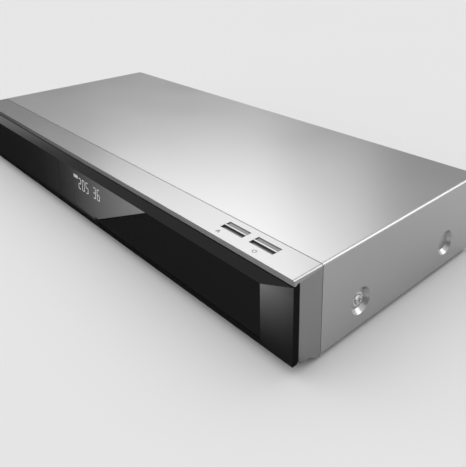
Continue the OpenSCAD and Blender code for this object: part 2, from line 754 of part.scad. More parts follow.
module hdd_head_arm() color([0.7, 0.71, 0.72]) {
    park = 203.4;
    tip = arm_at + 56 * [cos(park), sin(park)];
    tail = arm_at - 10 * [cos(park), sin(park)];
    difference() {
        union() {
            extrude_z([38.6, 40.7]) hull() {
                translate(arm_at) circle(r = 6.5);
                translate(tip) circle(r = 1.5);
                translate(tail) circle(r = 4);
            }
            post(arm_at, 6.5, [34, 44]);
        }
        post(arm_at, 4.06, [34 - cut, 44 + cut]);
    }
}

// ---- Electronics ----

module main_board() color([0.1, 0.35, 0.2]) difference() {
    slab([-33.5, 128], [40, 184.6], board_z);
    // Notches round the hard disk's right-hand legs
    for (y = [50, 144])
        slab([hdd_x[1] - 0.3, hdd_x[1] + 1.7], [y - 0.5, y + 10.5], [board_z[0] - cut, board_z[1] + cut]);
}

module main_chips() color([0.07, 0.07, 0.07]) {
    slab([5, 35], [92, 122], [part_z, part_z + 2.2]);
    for (y = [80, 128], x = [6, 24]) slab([x, x + 12], [y, y + 9], [part_z, part_z + 1.1]);
    slab([46, 60], [70, 82], [part_z, part_z + 1.6]);
    slab([-22, -10], [60, 74], [part_z, part_z + 1.4]);
    slab([84, 104], [60, 80], [part_z, part_z + 1.8]);
}

module heat_sink() color([0.35, 0.36, 0.37]) {
    base = part_z + 2.3;
    slab([0, 40], [87, 127], [base, base + 2]);
    for (i = [0:9]) slab([4.2 * i, 4.2 * i + 1.6], [87, 127], [base + 1.9, base + 10]);
}

module tuner_cans() color([0.8, 0.8, 0.79]) for (x = tuner_x) difference() {
    slab([x - 9, x + 9], [146, 184.4], [part_z, part_z + 15]);
    slab([x - 8, x + 8], [148, 183], [part_z - cut, part_z + 14.2]);
}

module satellite_connectors() color([0.85, 0.83, 0.75]) for (x = tuner_x) difference() {
    union() {
        rod_along_y([x, tuner_z], 5, [184.5, rear_y - 0.4]);
        rod_along_y([x, tuner_z], 4.75, [rear_y - 0.5, rear_y + connector_out]);
    }
    rod_along_y([x, tuner_z], 0.6, [188, rear_y + connector_out + cut]);
    rod_along_y([x, tuner_z], 2.6, [rear_y + connector_out - 1, rear_y + connector_out + cut]);
}

// A tongue socket that faces the back
module rear_socket(x, y, z, wall, tongue) {
    translate([0, y[0] + y[1], 0]) mirror([0, 1, 0]) tongue_socket(x, y, z, wall, tongue);
}

module rear_sockets() color([0.75, 0.75, 0.76]) {
    rear_socket([10, 25], [174, rear_y - 0.4], [part_z, part_z + 6], 0.5, 1);
    rear_socket([32, 45.4], [172, rear_y - 0.4], [part_z, part_z + 7], 0.5, 1.8);
    difference() {
        slab([70, 80], [174, rear_y - 0.4], [part_z, 21]);
        rod_along_y([75, 15.5], 2.6, [180, rear_y + cut]);
    }
}

module lan_socket() color([0.72, 0.72, 0.73]) difference() {
    slab([50, 66], [168, rear_y - 0.4], [part_z, part_z + 13.5]);
    slab([52.1, 63.9], [172, rear_y + cut], [14, 22.6]);
}

module power_board() color([0.55, 0.45, 0.25]) slab([133, 208], [62, 184.6], board_z);

module transformer() color([0.75, 0.7, 0.2]) {
    slab([150, 182], [100, 128], [part_z, part_z + 7]);
    slab([154, 178], [103, 125], [part_z + 6.9, part_z + 16]);
    slab([150, 182], [100, 128], [part_z + 15.9, part_z + 24]);
}

module power_capacitors() color([0.1, 0.12, 0.2]) {
    post([192, 146], 9, [part_z, part_z + 30]);
    for (p = [[158, 78], [172, 78], [186, 78], [144, 92]]) post(p, 5, [part_z, part_z + 20]);
    for (p = [[140, 150], [140, 162]]) post(p, 4, [part_z, part_z + 12]);
}

// Two-pole inlet with round pins in a deep well
module ac_inlet() color([0.08, 0.08, 0.08]) {
    difference() {
        slab([176, 200], [166, rear_y - 0.2], [part_z, 28]);
        for (x = [183.7, 192.3]) rod_along_y([x, 19.4], 4.3, [172, rear_y + cut]);
        slab([183.7, 192.3], [172, rear_y + cut], [15.1, 23.7]);
    }
    for (x = [183.7, 192.3]) rod_along_y([x, 19.4], 1.2, [171.5, rear_y - 2]);
}

module fan_frame() color([0.08, 0.08, 0.08]) {
    y = [175, 185];
    difference() {
        extrude_y(y) polygon(round_rect([fan_at[0] - fan_half, fan_at[0] + fan_half],
            [fan_at[1] - fan_half, fan_at[1] + fan_half], 3));
        rod_along_y(fan_at, 19, [y[0] - cut, y[1] + cut]);
    }
    rod_along_y(fan_at, 11, [y[0], y[0] + 1.6]);
    rod_along_y(fan_at, 1.4, [y[0], y[0] + 6]);
    for (a = [30:90:300]) translate([fan_at[0], y[0], fan_at[1]]) rotate([0, a, 0])
        slab([10, 19.4], [0, 1.6], [-1.2, 1.2]);
}

module fan_rotor() color([0.12, 0.12, 0.12]) difference() {
    union() {
        rod_along_y(fan_at, 10.5, [177, 184]);
        for (a = [0:360 / 7:359]) translate([fan_at[0], 180.4, fan_at[1]]) rotate([0, a, 0])
            translate([9.8, 0, 0]) rotate([38, 0, 0]) slab([0, 8.2], [-0.5, 0.5], [-3.6, 3.6]);
    }
    rod_along_y(fan_at, 1.46, [176, 181.5]);
}

// A flat cable along Y as a bent strip with a plug at each end; the path is in y and z
module ribbon(x, path) {
    film = 0.3;
    for (i = [0:len(path) - 2]) {
        a = path[i];
        b = path[i + 1];
        slab(x, [min(a[0], b[0]), max(a[0], b[0]) + film], [min(a[1], b[1]), max(a[1], b[1]) + film]);
    }
}

module ribbon_cables() color([0.85, 0.85, 0.82]) {
    ribbon([-24, -8], [[9.9, 16], [36, 16], [36, 12.5], [52, 12.5]]);
    slab([-25, -7], [50, 54], [part_z, 13.4]);
    ribbon([72, 82], [[9.9, 14.5], [44, 14.5], [44, 12.5], [56, 12.5]]);
    slab([71, 83], [54, 58], [part_z, 13.4]);
    // Wires from the power supply to the main board
    slab([116, 146], [66, 74], [13, 14.2]);
    for (x = [113, 145]) slab([x, x + 4], [65, 75], [part_z, 14.6]);
}

in_frame() bottom_chassis();
in_frame() top_cover();
in_frame() rear_panel();
in_frame() front_frame();
in_frame() fascia_plate();
in_frame() display_window();
in_frame() tray_door();
in_frame() front_flap();
in_frame() flap_hinge_pins();
in_frame() slot_panel();
in_frame() open_button();
in_frame() power_button();
in_frame() key_board();
in_frame() tact_switches();
in_frame() display_board();
in_frame() display_tube();
in_frame() remote_sensor();
in_frame() front_usb_socket();
in_frame() card_reader();
in_frame() module_slot();
in_frame() feet();
in_frame() foot_pads();
in_frame() case_screws();
in_frame() drive_base();
in_frame() drive_lid();
in_frame() disc_tray();
in_frame() tray_gear();
in_frame() pulley_gear();
in_frame() motor_pulley();
in_frame() loading_motor();
in_frame() loading_belt();
in_frame() disc_clamper();
in_frame() traverse_plate();
in_frame() spindle_motor();
in_frame() turntable();
in_frame() guide_rods();
in_frame() optical_pickup();
in_frame() pickup_lens();
in_frame() lead_screw();
in_frame() sled_motor();
in_frame() hdd_case();
in_frame() hdd_cover();
in_frame() hdd_board();
in_frame() hdd_bracket();
in_frame() hdd_platters();
in_frame() hdd_head_arm();
in_frame() main_board();
in_frame() main_chips();
in_frame() heat_sink();
in_frame() tuner_cans();
in_frame() rear_sockets();
in_frame() lan_socket();
in_frame() satellite_connectors();
in_frame() power_board();
in_frame() transformer();
in_frame() power_capacitors();
in_frame() ac_inlet();
in_frame() fan_frame();
in_frame() fan_rotor();
in_frame() ribbon_cables();
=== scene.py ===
"""Looks of the disc recorder: materials, lit clock, key symbols, studio light, floor and camera."""

import math

import bmesh
import bpy
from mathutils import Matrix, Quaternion, Vector


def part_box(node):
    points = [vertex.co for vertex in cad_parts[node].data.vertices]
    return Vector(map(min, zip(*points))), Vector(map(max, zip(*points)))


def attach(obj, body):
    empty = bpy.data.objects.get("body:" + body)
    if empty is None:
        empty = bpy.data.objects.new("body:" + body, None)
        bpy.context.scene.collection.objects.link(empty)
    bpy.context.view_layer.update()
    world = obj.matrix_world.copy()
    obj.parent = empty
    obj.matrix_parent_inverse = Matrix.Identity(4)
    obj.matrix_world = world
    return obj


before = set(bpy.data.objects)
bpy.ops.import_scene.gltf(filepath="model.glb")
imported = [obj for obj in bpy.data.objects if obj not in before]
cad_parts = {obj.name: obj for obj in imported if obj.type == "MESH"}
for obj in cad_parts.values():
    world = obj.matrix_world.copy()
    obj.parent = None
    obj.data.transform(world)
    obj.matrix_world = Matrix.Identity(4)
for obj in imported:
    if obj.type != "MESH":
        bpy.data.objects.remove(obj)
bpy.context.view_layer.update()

MM = 0.001
CASE = "case"  # the body that everything fixed rides on

WINDOW_FACE_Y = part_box("display_window")[0].y
FRAME_TOP_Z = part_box("front_frame")[1].z
OPEN_KEY_LOW, OPEN_KEY_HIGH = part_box("open_button")
POWER_KEY_LOW, POWER_KEY_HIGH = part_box("power_button")

# The case, and the black front's bevels, flat face and window, in millimetres
CASE_HALF_WIDTH = 215.0
END_BEVEL = 22.0
TOP_BEVEL = 7.5
END_BEVEL_X = 192.8
FACE_TOP_Z = 47.5
FACE_BOTTOM_Z = 12.0
EDGE_LIGHTENING_X = (-130.0, 80.0)
PRINT_BAND_Z = (13.0, 16.5)


# ---- Shader helpers ----

RANGE_SOCKETS = ("From Min", "From Max", "To Min", "To Max")


def grey(level):
    """A colour with equal red, green and blue."""
    return (level, level, level)


def shade_of(colour, factor):
    """A colour made darker or lighter."""
    return tuple(min(1.0, part * factor) for part in colour)


class Shader:
    """A material's node tree, with short ways to add its usual nodes."""

    def __init__(self, name, colour, roughness, metallic=0.0, specular=0.5):
        self.material = bpy.data.materials.new(name)
        self.material.use_nodes = True
        self.tree = self.material.node_tree
        self.surface = self.tree.nodes["Principled BSDF"]
        self.set("Base Color", (*colour, 1.0))
        self.set("Roughness", roughness)
        self.set("Metallic", metallic)
        self.set("Specular IOR Level", specular)
        self.place = self.add("ShaderNodeTexCoord").outputs["Object"]

    def add(self, kind, **settings):
        node = self.tree.nodes.new(kind)
        for name, value in settings.items():
            setattr(node, name, value)
        return node

    def set(self, socket, value):
        self.surface.inputs[socket].default_value = value

    def link(self, source, target):
        self.tree.links.new(source, target)

    def feed(self, socket, source):
        self.link(source, self.surface.inputs[socket])

    def math(self, operation, a, b=0.0):
        """The result of one sum, where a and b are sockets or numbers."""
        node = self.add("ShaderNodeMath", operation=operation)
        for socket, value in zip(node.inputs, (a, b)):
            if isinstance(value, (int, float)):
                socket.default_value = value
            else:
                self.link(value, socket)
        return node.outputs[0]

    def axis(self, name):
        """Position along X, Y or Z in millimetres."""
        split = self.add("ShaderNodeSeparateXYZ")
        self.link(self.place, split.inputs[0])
        return self.math("MULTIPLY", split.outputs[name], 1.0 / MM)

    def noise(self, size, stretch=(1, 1, 1), detail=3.0, roughness=0.55):
        """Cloudy noise from 0 to 1, with spots about size across, in metres."""
        mapping = self.add("ShaderNodeMapping")
        mapping.inputs["Scale"].default_value = stretch
        self.link(self.place, mapping.inputs["Vector"])
        node = self.add("ShaderNodeTexNoise")
        node.inputs["Scale"].default_value = 1.0 / size
        node.inputs["Detail"].default_value = detail
        node.inputs["Roughness"].default_value = roughness
        self.link(mapping.outputs[0], node.inputs["Vector"])
        return node.outputs["Fac"]

    def cells(self, size, feature="F1"):
        """Distance from the middle of each cell, with cells about size across, in metres."""
        node = self.add("ShaderNodeTexVoronoi", feature=feature)
        node.inputs["Scale"].default_value = 1.0 / size
        self.link(self.place, node.inputs["Vector"])
        return node.outputs["Distance"]

    def remap(self, source, low, high, to_low, to_high):
        """A socket's value moved from one range to another, and held inside it."""
        node = self.add("ShaderNodeMapRange")
        self.link(source, node.inputs["Value"])
        for name, value in zip(RANGE_SOCKETS, (low, high, to_low, to_high)):
            node.inputs[name].default_value = value
        return node.outputs["Result"]

    def ramp(self, source, stops):
        """Colour along a socket's value, from (position, grey or colour) stops."""
        node = self.add("ShaderNodeValToRGB")
        elements = node.color_ramp.elements
        while len(elements) < len(stops):
            elements.new(0.5)
        for element, (position, colour) in zip(elements, stops):
            element.position = position
            red_green_blue = grey(colour) if isinstance(colour, float) else colour
            element.color = (*red_green_blue, 1)
        self.link(source, node.inputs["Fac"])
        return node.outputs["Color"]

    def mix(self, factor, a, b):
        """Blend of two colours, each a socket or an RGB tuple."""
        node = self.add("ShaderNodeMix", data_type="RGBA")
        self.link(factor, node.inputs["Factor"])
        for name, value in (("A", a), ("B", b)):
            socket = next(s for s in node.inputs if s.name == name and s.type == "RGBA")
            if isinstance(value, tuple):
                socket.default_value = (*value, 1)
            else:
                self.link(value, socket)
        return next(s for s in node.outputs if s.type == "RGBA")

    def bump(self, height, strength, distance):
        node = self.add("ShaderNodeBump")
        node.inputs["Strength"].default_value = strength
        node.inputs["Distance"].default_value = distance
        self.link(height, node.inputs["Height"])
        self.feed("Normal", node.outputs["Normal"])

    def vary(self, colour, spread, size):
        """Colour that drifts a little lighter and darker over patches of a size."""
        drift = self.noise(size)
        dark, light = shade_of(colour, 1 - spread), shade_of(colour, 1 + spread)
        self.feed("Base Color", self.mix(drift, dark, light))
        return drift


# ---- Materials ----

FLAKE_SIZE = 0.25 * MM
PATCH_SIZE = 60 * MM


def silver_paint(name, colour, roughness):
    """Satin paint with metal flakes over sheet steel or plastic."""
    shader = Shader(name, colour, roughness, metallic=0.85)
    flakes = shader.noise(FLAKE_SIZE, detail=1.0)
    patches = shader.noise(PATCH_SIZE, detail=1.0)
    fine = shader.math("MULTIPLY", flakes, 0.7)
    broad = shader.math("MULTIPLY", patches, 0.3)
    dark, light = shade_of(colour, 0.95), shade_of(colour, 1.05)
    shader.feed("Base Color", shader.mix(shader.math("ADD", fine, broad), dark, light))
    shader.feed("Roughness", shader.remap(patches, 0.0, 1.0, roughness - 0.02, roughness + 0.02))
    shader.bump(flakes, 0.03, 0.01 * MM)
    return shader.material


def lip_paint_with_painted_light():
    """Satin paint on the strip's front edge, with painted light in its base colour: dark at its left end
    to light at its right end.
    """
    shader = Shader("lip_paint_with_painted_light", grey(0.3), 0.35, metallic=0.85)
    along = shader.remap(shader.axis("X"), -CASE_HALF_WIDTH, CASE_HALF_WIDTH, 0.0, 1.0)
    # Painted light: the base colour brightens from the left end of the lip to the right end.
    shade = shader.ramp(along, [(0.0, 0.15), (0.2, 0.29), (0.5, 0.53), (1.0, 0.84)])
    flakes = shader.noise(FLAKE_SIZE, detail=1.0)
    patches = shader.noise(PATCH_SIZE, detail=1.0)
    shader.feed("Base Color", shader.mix(shader.remap(flakes, 0.0, 1.0, 0.9, 1.0), (0, 0, 0), shade))
    shader.feed("Roughness", shader.remap(patches, 0.0, 1.0, 0.33, 0.37))
    return shader.material


def dead_black():
    """Unpolished edge of the front plate."""
    shader = Shader("dead_black", grey(0.005), 0.8, specular=0.1)
    shader.vary(grey(0.005), 0.3, 5 * MM)
    shader.bump(shader.noise(0.4 * MM), 0.2, 0.03 * MM)
    return shader.material


BLACK_LACQUER = grey(0.012)


def gloss_black():
    """Piano-black plastic, with a painted grey sheen, a painted reflection in the base colour, that runs
    out down the bevels at the two ends.
    """
    shader = Shader("gloss_black", BLACK_LACQUER, 0.12)
    x, z = shader.math("ABSOLUTE", shader.axis("X")), shader.axis("Z")
    past_hip = shader.math("SUBTRACT", x, END_BEVEL_X)
    top_hip = shader.math("ADD", shader.math("MULTIPLY", past_hip, TOP_BEVEL / END_BEVEL), FACE_TOP_Z)
    below_top_hip = shader.math("LESS_THAN", z, top_hip)
    on_end = shader.math("MULTIPLY", shader.math("GREATER_THAN", past_hip, 0.0), below_top_hip)
    # Painted reflection: the base colour turns grey towards the top of the end bevels and towards their
    # inner edge, in place of a reflected light.
    down = shader.remap(z, FACE_BOTTOM_Z, FACE_TOP_Z, 0.1, 1.0)
    across = shader.remap(past_hip, 0.0, END_BEVEL, 1.0, 0.3)
    painted_end_sheen = shader.math("MULTIPLY", shader.math("MULTIPLY", down, down), across)
    painted_end_sheen_colour = shader.mix(painted_end_sheen, BLACK_LACQUER, grey(0.18))
    shader.feed("Base Color", shader.mix(on_end, BLACK_LACQUER, painted_end_sheen_colour))
    smears = shader.noise(35 * MM, detail=5.0)
    shader.feed("Roughness", shader.remap(smears, 0.3, 0.7, 0.10, 0.16))
    shader.bump(shader.noise(8 * MM), 0.02, 0.05 * MM)
    return shader.material


def smoked_window():
    """Acrylic whose base colour lightens from black to grey towards its slanted edge."""
    shader = Shader("smoked_window", grey(0.02), 0.1)
    along = shader.remap(shader.axis("X"), *EDGE_LIGHTENING_X, 0.0, 1.0)
    edge_lightening = shader.ramp(along, [
        (0.0, 0.0135), (0.24, 0.018), (0.43, 0.034), (0.52, 0.055),
        (0.62, 0.092), (0.81, 0.168), (1.0, 0.24),
    ])
    print_band = shader.remap(shader.axis("Z"), *PRINT_BAND_Z, 0.0, 1.0)
    shader.feed("Base Color", shader.mix(print_band, BLACK_LACQUER, edge_lightening))
    smears = shader.noise(30 * MM, detail=5.0)
    shader.feed("Roughness", shader.remap(smears, 0.3, 0.7, 0.08, 0.14))
    return shader.material


def moulded(name, colour, roughness, grain=0.4):
    """Moulded plastic with a fine spark-eroded grain, its size in millimetres."""
    shader = Shader(name, colour, roughness, specular=0.4)
    drift = shader.vary(colour, 0.12, 25 * MM)
    shader.feed("Roughness", shader.remap(drift, 0.3, 0.7, roughness - 0.05, roughness + 0.05))
    shader.bump(shader.noise(grain * MM, detail=2.0), 0.25, 0.05 * MM)
    return shader.material


def brushed(name, colour, roughness, along=(1, 14, 14)):
    """Metal with fine lines along X, or along the axis with the smallest stretch."""
    shader = Shader(name, colour, roughness, metallic=1.0)
    lines = shader.noise(2.5 * MM, stretch=along, detail=4.0)
    shader.feed("Base Color", shader.mix(lines, shade_of(colour, 0.86), colour))
    shader.feed("Roughness", shader.remap(lines, 0.3, 0.7, roughness - 0.06, roughness + 0.08))
    shader.bump(lines, 0.08, 0.02 * MM)
    return shader.material


def zinc_plate():
    """Zinc-plated sheet with its faint spangle."""
    colour = (0.60, 0.61, 0.62)
    shader = Shader("zinc_plate", colour, 0.38, metallic=1.0)
    spangle = shader.cells(4 * MM)
    towards_edge = shader.remap(spangle, 0.0, 0.8, 0.0, 1.0)
    shader.feed("Base Color", shader.mix(towards_edge, (0.52, 0.53, 0.55), colour))
    shader.feed("Roughness", shader.remap(spangle, 0.0, 0.8, 0.32, 0.45))
    shader.bump(shader.noise(1.2 * MM), 0.05, 0.02 * MM)
    return shader.material


def textured_paint():
    """Black wrinkle paint of the rear panel."""
    shader = Shader("textured_paint", (0.03, 0.03, 0.032), 0.55)
    pebbles = shader.cells(0.7 * MM, feature="SMOOTH_F1")
    dust = shader.noise(40 * MM)
    shader.feed("Base Color", shader.mix(dust, (0.026, 0.026, 0.028), (0.04, 0.04, 0.042)))
    shader.feed("Roughness", shader.remap(pebbles, 0.0, 0.6, 0.45, 0.65))
    shader.bump(pebbles, 0.35, 0.08 * MM)
    return shader.material


def circuit_board(name, mask, copper):
    """Solder mask over copper tracks, with drilled pads."""
    shader = Shader(name, mask, 0.35)
    tracks = shader.add("ShaderNodeTexBrick")
    tracks.inputs["Scale"].default_value = 1.0 / (9 * MM)
    tracks.inputs["Mortar Size"].default_value = 0.05
    tracks.inputs["Color1"].default_value = (*mask, 1)
    tracks.inputs["Color2"].default_value = (*shade_of(mask, 0.8), 1)
    tracks.inputs["Mortar"].default_value = (*copper, 1)
    shader.link(shader.place, tracks.inputs["Vector"])
    pads = shader.math("LESS_THAN", shader.cells(3.2 * MM), 0.16)
    shader.feed("Base Color", shader.mix(pads, tracks.outputs["Color"], (0.62, 0.6, 0.55)))
    shader.feed("Roughness", shader.remap(pads, 0.0, 1.0, 0.38, 0.22))
    shader.bump(tracks.outputs["Fac"], 0.2, 0.05 * MM)
    return shader.material


def cast_metal():
    """Rough die-cast aluminium."""
    colour = (0.42, 0.43, 0.44)
    shader = Shader("cast_metal", colour, 0.5, metallic=1.0)
    shader.vary(colour, 0.15, 6 * MM)
    shader.bump(shader.noise(0.8 * MM, detail=4.0), 0.3, 0.05 * MM)
    return shader.material


def clear_part(name, colour, roughness, transmission):
    """Glass or coated lens with a faint stain."""
    shader = Shader(name, colour, roughness)
    shader.vary(colour, 0.1, 12 * MM)
    shader.set("Transmission Weight", transmission)
    shader.set("IOR", 1.5)
    return shader.material


def rubber():
    """Black rubber with a little dust in its pores."""
    shader = Shader("rubber", grey(0.02), 0.8, specular=0.25)
    dust = shader.noise(3 * MM, detail=5.0)
    shader.feed("Base Color", shader.mix(dust, grey(0.016), (0.035, 0.034, 0.032)))
    shader.bump(dust, 0.3, 0.05 * MM)
    return shader.material


def striped(name, colour, stripe, pitch):
    """Tape or flat cable with parallel lines across it."""
    shader = Shader(name, colour, 0.45)
    wave = shader.add("ShaderNodeTexWave", bands_direction="X")
    wave.inputs["Scale"].default_value = 0.314 / pitch
    wave.inputs["Distortion"].default_value = 0.4
    shader.link(shader.place, wave.inputs["Vector"])
    sharp = shader.remap(wave.outputs["Fac"], 0.4, 0.6, 0.0, 1.0)
    shader.feed("Base Color", shader.mix(sharp, colour, stripe))
    shader.bump(wave.outputs["Fac"], 0.15, 0.1 * MM)
    return shader.material


def lit_segments():
    """Pale glow of the clock's segments, a little uneven."""
    shader = Shader("lit_segments", (0.8, 0.82, 0.84), 0.4)
    glow = shader.noise(2 * MM)
    shader.feed("Emission Color", shader.mix(glow, (0.78, 0.80, 0.82), grey(1.0)))
    shader.set("Emission Strength", 0.2)
    return shader.material


def printed_ink():
    """Grey printing ink on the silver strip."""
    colour = (0.16, 0.16, 0.165)
    shader = Shader("printed_ink", colour, 0.5)
    shader.vary(colour, 0.15, 0.8 * MM)
    return shader.material


def studio_floor():
    """Matt white paper."""
    shader = Shader("studio_floor", grey(0.78), 0.6, specular=0.0)
    drift = shader.noise(0.6)
    shader.feed("Base Color", shader.mix(drift, grey(0.77), grey(0.79)))
    return shader.material


COVER_PAINT = silver_paint("cover_paint", grey(0.42), 0.285)
STRIP_PAINT = silver_paint("strip_paint", grey(0.345), 0.24)
CHEEK_PAINT = silver_paint("cheek_paint", grey(0.28), 0.42)
LIP_PAINT_WITH_PAINTED_LIGHT = lip_paint_with_painted_light()
# Darker greys of the strip's paint for the keys' recessed bands: painted shade.
KEY_FRONT_PAINTED_SHADE = silver_paint("key_front_painted_shade", grey(0.28), 0.4)
KEY_BACK_PAINTED_SHADE = silver_paint("key_back_painted_shade", grey(0.11), 0.3)
GLOSS = gloss_black()
SMOKED = smoked_window()
BLACK = moulded("black_plastic", (0.025, 0.025, 0.026), 0.5)
ZINC = zinc_plate()
STEEL = brushed("bright_steel", (0.72, 0.72, 0.73), 0.22)
GREEN = circuit_board("green_board", (0.02, 0.12, 0.05), (0.10, 0.28, 0.12))
RUBBER = rubber()

SURFACES = {
    "top_cover": COVER_PAINT,
    "front_frame": STRIP_PAINT,
    "open_button": STRIP_PAINT,
    "power_button": STRIP_PAINT,
    "fascia_plate": GLOSS,
    "tray_door": SMOKED,
    "front_flap": GLOSS,
    "display_window": SMOKED,
    "rear_panel": textured_paint(),
    "main_board": GREEN,
    "key_board": GREEN,
    "display_board": GREEN,
    "hdd_board": GREEN,
    "power_board": circuit_board("tan_board", (0.30, 0.20, 0.08), (0.42, 0.30, 0.14)),
    "hdd_case": cast_metal(),
    "hdd_platters": brushed("mirror_disk", (0.86, 0.86, 0.88), 0.06),
    "display_tube": clear_part("dark_glass", (0.03, 0.045, 0.045), 0.08, 0.3),
    "pickup_lens": clear_part("coated_lens", (0.45, 0.55, 0.8), 0.04, 0.8),
    "satellite_connectors": brushed("nickel_plate", (0.70, 0.66, 0.56), 0.25, along=(14, 14, 1)),
    "transformer": striped("winding_tape", (0.62, 0.48, 0.05), (0.52, 0.39, 0.03), 4 * MM),
    "power_capacitors": moulded("shrink_sleeve", (0.02, 0.03, 0.08), 0.3, grain=1.5),
    "ribbon_cables": striped("flat_cable", (0.72, 0.72, 0.68), (0.5, 0.5, 0.48), 1 * MM),
    "foot_pads": RUBBER,
    "loading_belt": RUBBER,
}
GROUPS = [
    (ZINC, "bottom_chassis hdd_bracket drive_lid tuner_cans front_usb_socket card_reader module_slot"
           " rear_sockets lan_socket traverse_plate"),
    (BLACK, "slot_panel drive_base disc_tray fan_frame fan_rotor disc_clamper ac_inlet feet turntable"
            " tact_switches main_chips remote_sensor"),
    (moulded("white_gear_plastic", (0.75, 0.74, 0.68), 0.35), "tray_gear pulley_gear motor_pulley"),
    (brushed("stamped_alloy", (0.66, 0.67, 0.68), 0.32), "hdd_cover heat_sink hdd_head_arm"),
    (moulded("pickup_alloy", (0.2, 0.2, 0.21), 0.45, grain=0.8), "optical_pickup"),
    (brushed("motor_steel", (0.55, 0.56, 0.57), 0.3), "loading_motor spindle_motor sled_motor"),
    (STEEL, "guide_rods lead_screw flap_hinge_pins case_screws"),
]
for surface, names in GROUPS:
    for node_name in names.split():
        SURFACES[node_name] = surface

for node_name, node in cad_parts.items():
    node.data.materials.clear()
    node.data.materials.append(SURFACES[node_name])


# ---- Faces with a finish of their own, some with painted light or shade ----

def paint_faces(node_name, surface, wanted):
    """Gives a node's faces that pass a test another material."""
    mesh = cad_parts[node_name].data
    mesh.materials.append(surface)
    for face in mesh.polygons:
        if wanted(face):
            face.material_index = len(mesh.materials) - 1


STRIP_THICKNESS = 3.6 * MM
STRIP_BOTTOM = FRAME_TOP_Z - STRIP_THICKNESS

# A key's ridge keeps the strip's paint, and its faces below these heights get darker greys instead, as
# painted shade in the key's recessed bands
KEY_RIDGE = OPEN_KEY_HIGH.z - 0.3 * MM
KEY_LOW = OPEN_KEY_HIGH.z - 1.0 * MM

paint_faces("front_frame", CHEEK_PAINT, lambda face: face.center.z < STRIP_BOTTOM)
paint_faces("front_frame", LIP_PAINT_WITH_PAINTED_LIGHT, lambda face: face.normal.y < -0.7 and face.center.z > STRIP_BOTTOM)
paint_faces("fascia_plate", dead_black(), lambda face: abs(face.normal.x) > 0.9)
for key in ("open_button", "power_button"):
    paint_faces(key, KEY_BACK_PAINTED_SHADE, lambda face: face.center.z < KEY_RIDGE)
    paint_faces(key, KEY_FRONT_PAINTED_SHADE, lambda face: face.center.z < KEY_LOW)


# ---- Soft edges ----

EDGE_WIDTHS = {
    "top_cover": 0.25 * MM,
    "front_frame": 0.15 * MM,
    "fascia_plate": 0.2 * MM,
    "tray_door": 0.12 * MM,
    "front_flap": 0.12 * MM,
    "display_window": 0.12 * MM,
    "open_button": 0.25 * MM,
    "power_button": 0.25 * MM,
    "rear_panel": 0.15 * MM,
    "disc_tray": 0.3 * MM,
    "feet": 0.3 * MM,
    "case_screws": 0.15 * MM,
    "ac_inlet": 0.3 * MM,
}


def soften_edges(node, width):
    """Rounds a node's sharp edges."""
    bevel = node.modifiers.new("soft_edges", "BEVEL")
    bevel.width = width
    bevel.segments = 2
    bevel.limit_method = "ANGLE"
    bevel.angle_limit = math.radians(35)
    bevel.harden_normals = True


for node_name, edge_width in EDGE_WIDTHS.items():
    soften_edges(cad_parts[node_name], edge_width)


# ---- The lit clock ----

def add_piece(name, mesh_builder, surface):
    """Makes a new piece that is fixed to the case."""
    mesh = bpy.data.meshes.new(name)
    mesh_builder.to_mesh(mesh)
    mesh_builder.free()
    mesh.materials.append(surface)
    piece = bpy.data.objects.new(name, mesh)
    bpy.context.scene.collection.objects.link(piece)
    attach(piece, CASE)


def raise_outline(builder, points, direction, thickness):
    """A thin flat plate with the given outline, raised along a direction."""
    lower = [builder.verts.new(p) for p in points]
    upper = [builder.verts.new(p + direction * thickness) for p in points]
    builder.faces.new(lower)
    builder.faces.new(reversed(upper))
    for i, corner in enumerate(lower):
        after = (i + 1) % len(lower)
        builder.faces.new((corner, upper[i], upper[after], lower[after]))


SEGMENTS_OF = {
    "0": "abcdef", "1": "bc", "2": "abged", "3": "abgcd", "4": "fgbc",
    "5": "afgcd", "6": "afgedc", "7": "abc", "8": "abcdefg", "9": "abcdfg",
}
CLOCK_TEXT = "205 36"
DIGIT_HEIGHT = 8.8 * MM
DIGIT_WIDTH = 3.2 * MM
DIGIT_PITCH = 5.8 * MM
SEGMENT_WIDTH = 0.45 * MM
DIGIT_LEFT = -10.3 * MM
DIGIT_BOTTOM = 33.0 * MM
DIGIT_SLANT = 0.08
LIT_THICKNESS = 0.04 * MM
LEVEL_BARS = 5
LEVEL_LEFT = -17.6 * MM
LEVEL_BOTTOM = 40.6 * MM
LEVEL_PITCH = 1.4 * MM
LEVEL_WIDTH = 0.7 * MM
LEVEL_HEIGHT = 2.6 * MM


def rectangle(left, low, width, height):
    """The corners of an upright rectangle in its own plane."""
    return [(left, low), (left + width, low), (left + width, low + height), (left, low + height)]


def segment_ends():
    """The two ends of each of the seven segments, in a digit's width and height."""
    top, middle, width = DIGIT_HEIGHT, DIGIT_HEIGHT / 2, DIGIT_WIDTH
    return {
        "a": ((0, top), (width, top)),
        "b": ((width, top), (width, middle)),
        "c": ((width, middle), (width, 0)),
        "d": ((0, 0), (width, 0)),
        "e": ((0, middle), (0, 0)),
        "f": ((0, top), (0, middle)),
        "g": ((0, middle), (width, middle)),
    }


def segment_outline(start, end):
    """A bar between two points, pointed at both ends."""
    start, end = Vector(start), Vector(end)
    along = (end - start).normalized()
    across = Vector((-along.y, along.x)) * SEGMENT_WIDTH / 2
    tip = along * SEGMENT_WIDTH * 0.12
    shoulder = along * SEGMENT_WIDTH * 0.62
    return [
        start + tip, start + shoulder + across, end - shoulder + across,
        end - tip, end - shoulder - across, start + shoulder - across,
    ]


